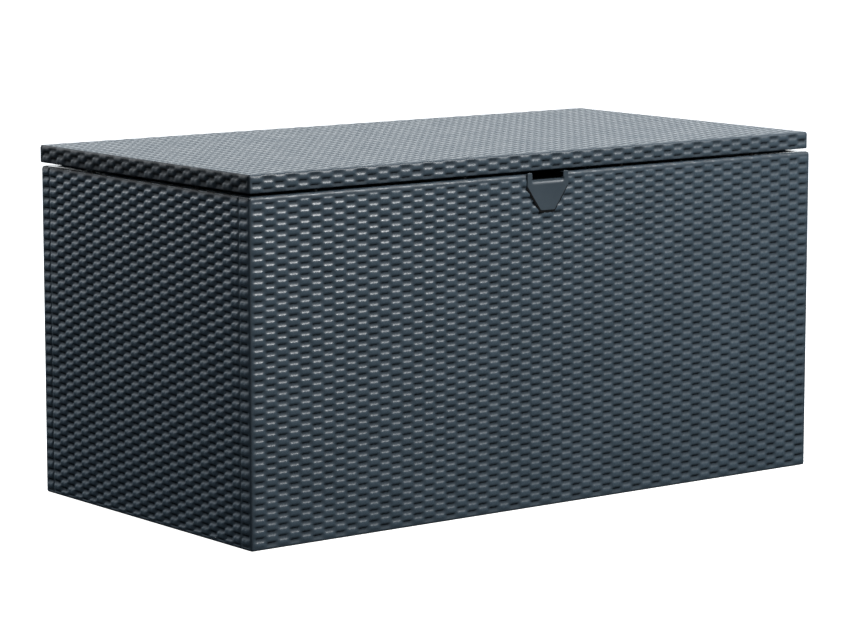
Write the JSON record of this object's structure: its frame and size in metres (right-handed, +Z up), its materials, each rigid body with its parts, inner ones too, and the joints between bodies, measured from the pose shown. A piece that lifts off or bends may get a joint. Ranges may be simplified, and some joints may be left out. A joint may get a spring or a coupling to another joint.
{
  "type": "deck storage box",
  "caption": "Rectangular steel deck storage box with an embossed basket-weave finish, a rear-hinged lid on gas struts and a finger notch in the front.",
  "frame": {"origin": "on the ground under the middle of the body, on the underside of the middle floor bearer", "axes": "+Z up, front faces -Y, +X to the right when facing the front"},
  "size_m": [1.335, 0.698, 0.662],
  "materials": {
    "coated_steel": "satin powder coat over embossed weave",
    "notch_plate": "smooth satin",
    "hinge_steel": "satin",
    "galvanised_steel": "spangled zinc",
    "zinc_plated_steel": "bright zinc",
    "strut_tube_paint": "semi-gloss black",
    "strut_rod_chrome": "hard chrome",
    "black_nylon": "moulded",
    "bumper_rubber": "matte"
  },
  "bodies": {
    "box": {"front_panel": "coated_steel", "rear_panel": "coated_steel", "left_panel": "coated_steel", "right_panel": "coated_steel", "floor_panel": "galvanised_steel", "base_rail_front": "galvanised_steel", "base_rail_rear": "galvanised_steel", "base_rail_left": "galvanised_steel", "base_rail_right": "galvanised_steel", "floor_bearer_left": "galvanised_steel", "floor_bearer_middle": "galvanised_steel", "floor_bearer_right": "galvanised_steel", "corner_post_front_left": "galvanised_steel", "corner_post_front_right": "galvanised_steel", "corner_post_rear_left": "galvanised_steel", "corner_post_rear_right": "galvanised_steel", "top_rail_front": "galvanised_steel", "top_rail_rear": "galvanised_steel", "top_rail_left": "galvanised_steel", "top_rail_right": "galvanised_steel", "finger_notch_plate": "notch_plate", "lid_bumpers": "bumper_rubber", "box_screws": "zinc_plated_steel", "hinge_left_box_leaf": "hinge_steel", "hinge_left_pin": "zinc_plated_steel", "hinge_middle_box_leaf": "hinge_steel", "hinge_middle_pin": "zinc_plated_steel", "hinge_right_box_leaf": "hinge_steel", "hinge_right_pin": "zinc_plated_steel", "strut_left_lower_bracket": "galvanised_steel", "strut_left_lower_ball": "zinc_plated_steel", "strut_right_lower_bracket": "galvanised_steel", "strut_right_lower_ball": "zinc_plated_steel"},
    "lid": {"lid_skin": "coated_steel", "lid_rail_front": "galvanised_steel", "lid_rail_rear": "galvanised_steel", "lid_rail_left": "galvanised_steel", "lid_rail_right": "galvanised_steel", "lid_brace_left": "galvanised_steel", "lid_brace_right": "galvanised_steel", "lid_screws": "zinc_plated_steel", "hinge_left_lid_leaf": "hinge_steel", "hinge_middle_lid_leaf": "hinge_steel", "hinge_right_lid_leaf": "hinge_steel", "strut_left_upper_bracket": "galvanised_steel", "strut_right_upper_bracket": "galvanised_steel"},
    "strut_tube_left": {"strut_left_lower_socket": "black_nylon", "strut_left_tube": "strut_tube_paint", "strut_left_gland": "black_nylon"},
    "strut_rod_left": {"strut_left_rod": "strut_rod_chrome", "strut_left_upper_socket": "black_nylon", "strut_left_upper_ball": "zinc_plated_steel"},
    "strut_tube_right": {"strut_right_lower_socket": "black_nylon", "strut_right_tube": "strut_tube_paint", "strut_right_gland": "black_nylon"},
    "strut_rod_right": {"strut_right_rod": "strut_rod_chrome", "strut_right_upper_socket": "black_nylon", "strut_right_upper_ball": "zinc_plated_steel"}
  },
  "joints": [
    {"name": "lid_hinge", "type": "hinge", "parent": "box", "child": "lid", "pos_m": [0, 0.346, 0.627], "axis": [-1, 0, 0], "range_deg": [0, 80]},
    {"name": "strut_tilt_left", "type": "hinge", "parent": "box", "child": "strut_tube_left", "pos_m": [-0.634, 0.326, 0.41], "axis": [-1, 0, 0], "range_deg": [0, 19.1]},
    {"name": "strut_slide_left", "type": "slide", "parent": "strut_tube_left", "child": "strut_rod_left", "axis": [0, -0.3746, 0.9272], "range_m": [0, 0.0993]},
    {"name": "strut_tilt_right", "type": "hinge", "parent": "box", "child": "strut_tube_right", "pos_m": [0.634, 0.326, 0.41], "axis": [-1, 0, 0], "range_deg": [0, 19.1]},
    {"name": "strut_slide_right", "type": "slide", "parent": "strut_tube_right", "child": "strut_rod_right", "axis": [0, -0.3746, 0.9272], "range_m": [0, 0.0993]}
  ],
  "couplings": [
    {"joint": "strut_tilt_left", "follows": "lid_hinge", "ratio": 0.23816},
    {"joint": "strut_slide_left", "follows": "lid_hinge", "m_per_rad": 0.070935},
    {"joint": "strut_tilt_right", "follows": "lid_hinge", "ratio": 0.23816},
    {"joint": "strut_slide_right", "follows": "lid_hinge", "m_per_rad": 0.070935}
  ]
}
